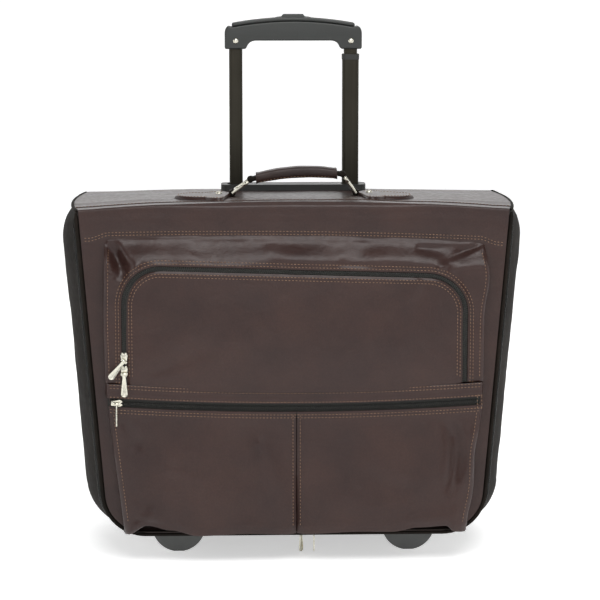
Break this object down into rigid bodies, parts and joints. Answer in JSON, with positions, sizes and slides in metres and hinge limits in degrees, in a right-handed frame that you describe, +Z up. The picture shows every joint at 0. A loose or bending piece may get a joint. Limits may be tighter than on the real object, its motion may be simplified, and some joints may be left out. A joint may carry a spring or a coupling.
{
  "type": "wheeled leather laptop case",
  "caption": "Soft dark leather wheeled case with a zipped lift-up front panel, front pockets, a telescopic trolley handle and a carry handle on rings.",
  "frame": {"origin": "on the floor, under the middle of the whole object", "axes": "+X to the right as the front is seen, +Y to the back where the wheels and trolley are, +Z up"},
  "size_m": [0.5686, 0.2635, 0.66],
  "materials": {
    "leather": "smooth semi-gloss dark brown leather",
    "leather_top": "smooth semi-gloss dark brown leather, lit from above",
    "leather_dark": "dark brown leather",
    "zip_tape": "woven black nylon coil and tape",
    "lining": "woven grey lining",
    "board": "sheet and moulding",
    "steel": "zinc-plated",
    "nickel": "satin nickel plate",
    "tube": "satin anodised dark bronze",
    "grip": "fine moulded grain",
    "button": "fine moulded grain",
    "runner": "moulded",
    "hub": "moulded",
    "tyre": "dull"
  },
  "bodies": {
    "case": {"back_panel": "leather_top", "stiffener_boards": "board", "left_gusset": "leather_dark", "right_gusset": "leather_dark", "bottom_gusset": "leather_dark", "top_panel": "leather_top", "handle_plate": "steel", "main_zip_rear": "zip_tape", "trolley_cover": "lining", "laptop_sleeve": "lining", "outer_tubes": "tube", "trolley_bezel": "grip", "tube_base": "board", "runner_left": "runner", "runner_right": "runner", "runner_screws": "steel", "axles": "steel", "tab_left": "leather_top", "tab_right": "leather_top", "tab_rivets": "nickel"},
    "front_panel": {"front_board": "leather", "front_rim": "leather_dark", "front_piping": "leather_dark", "main_zip_front": "zip_tape", "upper_band": "leather", "flap_surround": "leather", "u_zip": "zip_tape", "hinge_strip": "leather", "low_zip": "zip_tape", "lower_pocket_left": "leather", "lower_pocket_right": "leather"},
    "flap": {"u_flap": "leather"},
    "stage_right": {"mid_tube_right": "tube"},
    "stage_left": {"mid_tube_left": "tube"},
    "grip": {"inner_tubes": "tube", "grip_body": "grip", "grip_cap": "grip", "grip_rivets": "nickel", "button_spring": "steel"},
    "button": {"release_button": "button"},
    "ring_left": {"ring_left": "nickel"},
    "ring_right": {"ring_right": "nickel"},
    "handle": {"handle_sleeve": "leather_dark", "handle_core": "leather_dark"},
    "wheel_left": {"wheel_hub_left": "hub", "wheel_tyre_left": "tyre"},
    "wheel_right": {"wheel_hub_right": "hub", "wheel_tyre_right": "tyre"},
    "slider_u_upper": {"u_slider_upper": "nickel"},
    "pull_u_upper": {"u_pull_upper": "nickel"},
    "slider_u_lower": {"u_slider_lower": "nickel"},
    "pull_u_lower": {"u_pull_lower": "nickel"},
    "slider_low": {"low_slider": "nickel"},
    "pull_low": {"low_pull": "nickel"},
    "slider_main_left": {"main_slider_left": "nickel"},
    "pull_main_left": {"main_pull_left": "nickel"},
    "slider_main_right": {"main_slider_right": "nickel"},
    "pull_main_right": {"main_pull_right": "nickel"}
  },
  "joints": [
    {"name": "front_panel_hinge", "type": "hinge", "parent": "case", "child": "front_panel", "pos_m": [0, -0.0985, 0.4425], "axis": [-1, 0, 0], "range_deg": [0, 120]},
    {"name": "u_flap_hinge", "type": "hinge", "parent": "front_panel", "child": "flap", "pos_m": [0, -0.1242, 0.2248], "axis": [1, 0, 0], "range_deg": [0, 80]},
    {"name": "trolley_lower_slide", "type": "slide", "parent": "case", "child": "stage_right", "axis": [0, 0, 1], "range_m": [-0.17, 0.09]},
    {"name": "trolley_upper_slide", "type": "slide", "parent": "stage_right", "child": "grip", "axis": [0, 0, 1], "range_m": [0, 0.26]},
    {"name": "trolley_left_stage_slide", "type": "slide", "parent": "case", "child": "stage_left", "axis": [0, 0, 1], "range_m": [0, 0.26]},
    {"name": "release_button_press", "type": "slide", "parent": "grip", "child": "button", "axis": [0, 0, -1], "range_m": [0, 0.0035], "stiffness_N_per_m": 600, "deforming": ["button_spring"]},
    {"name": "carry_handle_sway", "type": "hinge", "parent": "case", "child": "ring_left", "pos_m": [-0.0745, -0.005, 0.4425], "axis": [0, -1, 0], "range_deg": [-4, 20]},
    {"name": "carry_handle_pivot", "type": "hinge", "parent": "ring_left", "child": "handle", "pos_m": [-0.05185, -0.005, 0.45896], "axis": [0, -1, 0], "range_deg": [-27.5, 6]},
    {"name": "carry_ring_right_swing", "type": "hinge", "parent": "case", "child": "ring_right", "pos_m": [0.079, -0.005, 0.4425], "axis": [0, -1, 0], "range_deg": [-4.5, 20.5]},
    {"name": "wheel_left_spin", "type": "hinge", "parent": "case", "child": "wheel_left", "pos_m": [-0.143, 0.1, 0.03], "axis": [1, 0, 0], "continuous": true},
    {"name": "wheel_right_spin", "type": "hinge", "parent": "case", "child": "wheel_right", "pos_m": [0.143, 0.1, 0.03], "axis": [1, 0, 0], "continuous": true},
    {"name": "zip_u_upper_slide", "type": "slide", "parent": "front_panel", "child": "slider_u_upper", "axis": [0, 0, 1], "range_m": [0, 0.05]},
    {"name": "zip_u_lower_slide", "type": "slide", "parent": "front_panel", "child": "slider_u_lower", "axis": [0, 0, -1], "range_m": [0, 0.008]},
    {"name": "zip_low_slide", "type": "slide", "parent": "front_panel", "child": "slider_low", "axis": [1, 0, 0], "range_m": [0, 0.425]},
    {"name": "zip_main_left_slide", "type": "slide", "parent": "case", "child": "slider_main_left", "axis": [-1, 0, 0], "range_m": [0, 0.14]},
    {"name": "zip_main_right_slide", "type": "slide", "parent": "case", "child": "slider_main_right", "axis": [1, 0, 0], "range_m": [0, 0.115]},
    {"name": "zip_u_upper_pull_swing", "type": "hinge", "parent": "slider_u_upper", "child": "pull_u_upper", "pos_m": [-0.2055, -0.1278, 0.253], "axis": [-0.7771, 0, 0.6293], "range_deg": [0, 150]},
    {"name": "zip_u_lower_pull_swing", "type": "hinge", "parent": "slider_u_lower", "child": "pull_u_lower", "pos_m": [-0.2055, -0.1278, 0.237], "axis": [-1, 0, 0], "range_deg": [0, 150]},
    {"name": "zip_low_pull_swing", "type": "hinge", "parent": "slider_low", "child": "pull_low", "pos_m": [-0.215, -0.1295, 0.201], "axis": [-1, 0, 0], "range_deg": [0, 90]},
    {"name": "zip_main_left_pull_swing", "type": "hinge", "parent": "slider_main_left", "child": "pull_main_left", "pos_m": [0.0085, -0.083, 0.0282], "axis": [-1, 0, 0], "range_deg": [-20, 75]},
    {"name": "zip_main_right_pull_swing", "type": "hinge", "parent": "slider_main_right", "child": "pull_main_right", "pos_m": [0.0245, -0.083, 0.0282], "axis": [-1, 0, 0], "range_deg": [-20, 75]}
  ],
  "couplings": [
    {"joint": "trolley_left_stage_slide", "follows": "trolley_upper_slide", "ratio": 1},
    {"joint": "carry_handle_pivot", "follows": "carry_handle_sway", "ratio": -1.345},
    {"joint": "carry_ring_right_swing", "follows": "carry_handle_sway", "ratio": 1}
  ]
}
